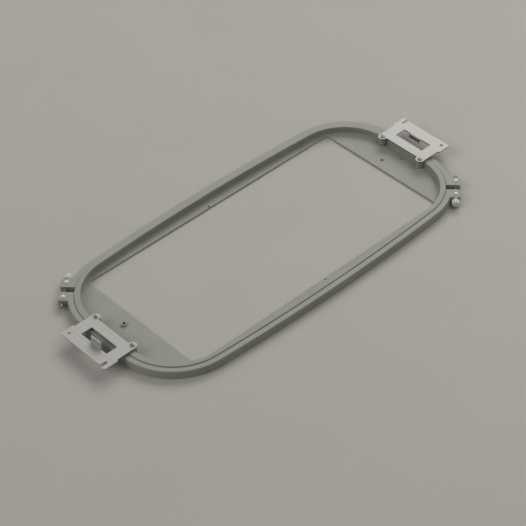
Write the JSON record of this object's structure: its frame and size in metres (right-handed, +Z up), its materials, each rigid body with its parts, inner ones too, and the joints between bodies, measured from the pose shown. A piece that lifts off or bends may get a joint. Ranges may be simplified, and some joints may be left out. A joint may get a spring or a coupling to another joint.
{
  "type": "embroidery hoop",
  "caption": "Oblong machine embroidery hoop: rigid inner ring with metal mounting plates at its ends, in a split outer ring drawn together by corner thumb screws.",
  "frame": {"origin": "centre of the hoop on the surface it lies on", "axes": "+X along the hoop to the right mounting plate, +Y to the back long side, +Z up"},
  "size_m": [0.5456, 0.2364, 0.0216],
  "materials": {
    "outer_ring": "satin moulded plastic, grey green, fine grain",
    "inner_ring": "satin moulded plastic, grey green, fine grain",
    "plate": "stamped sheet steel, fine brushed, light edges",
    "plate_screw": "bright zinc-plated steel",
    "insert": "turned brass, knurled",
    "clamp_screw": "blackened steel, rolled thread",
    "clamp_knob": "satin anodised, fluted grip",
    "clamp_washer": "bright plated steel",
    "clamp_pin": "polished plated steel, domed head"
  },
  "bodies": {
    "outer_front": {"outer_ring_front": "outer_ring", "left_nut_pin": "clamp_pin", "right_plain_pin": "clamp_pin", "right_clamp_washer": "clamp_washer"},
    "outer_back": {"outer_ring_back": "outer_ring", "right_nut_pin": "clamp_pin", "left_plain_pin": "clamp_pin", "left_clamp_washer": "clamp_washer"},
    "inner_frame": {"inner_ring": "inner_ring", "left_mounting_plate": "plate", "left_plate_screws": "plate_screw", "left_plate_inserts": "insert", "right_mounting_plate": "plate", "right_plate_screws": "plate_screw", "right_plate_inserts": "insert"},
    "left_knob": {"left_clamp_knob": "clamp_knob", "left_clamp_screw": "clamp_screw"},
    "right_knob": {"right_clamp_knob": "clamp_knob", "right_clamp_screw": "clamp_screw"}
  },
  "joints": [
    {"name": "ring_open", "type": "slide", "parent": "outer_front", "child": "outer_back", "axis": [0.7349, 0.6782, 0], "range_m": [0, 0.0049]},
    {"name": "inner_lift", "type": "slide", "parent": "outer_front", "child": "inner_frame", "axis": [0, 0, 1], "range_m": [0, 0.05]},
    {"name": "left_knob_turn", "type": "hinge", "parent": "outer_back", "child": "left_knob", "pos_m": [-0.22148, 0.09477, 0.0052], "axis": [0.7349, 0.6782, 0], "range_deg": [0, 2520]},
    {"name": "right_knob_turn", "type": "hinge", "parent": "outer_front", "child": "right_knob", "pos_m": [0.22148, -0.09477, 0.0052], "axis": [-0.7349, -0.6782, 0], "range_deg": [0, 2520]}
  ],
  "couplings": [
    {"joint": "left_knob_turn", "follows": "ring_open", "rad_per_m": 8976},
    {"joint": "right_knob_turn", "follows": "ring_open", "rad_per_m": 8976}
  ]
}
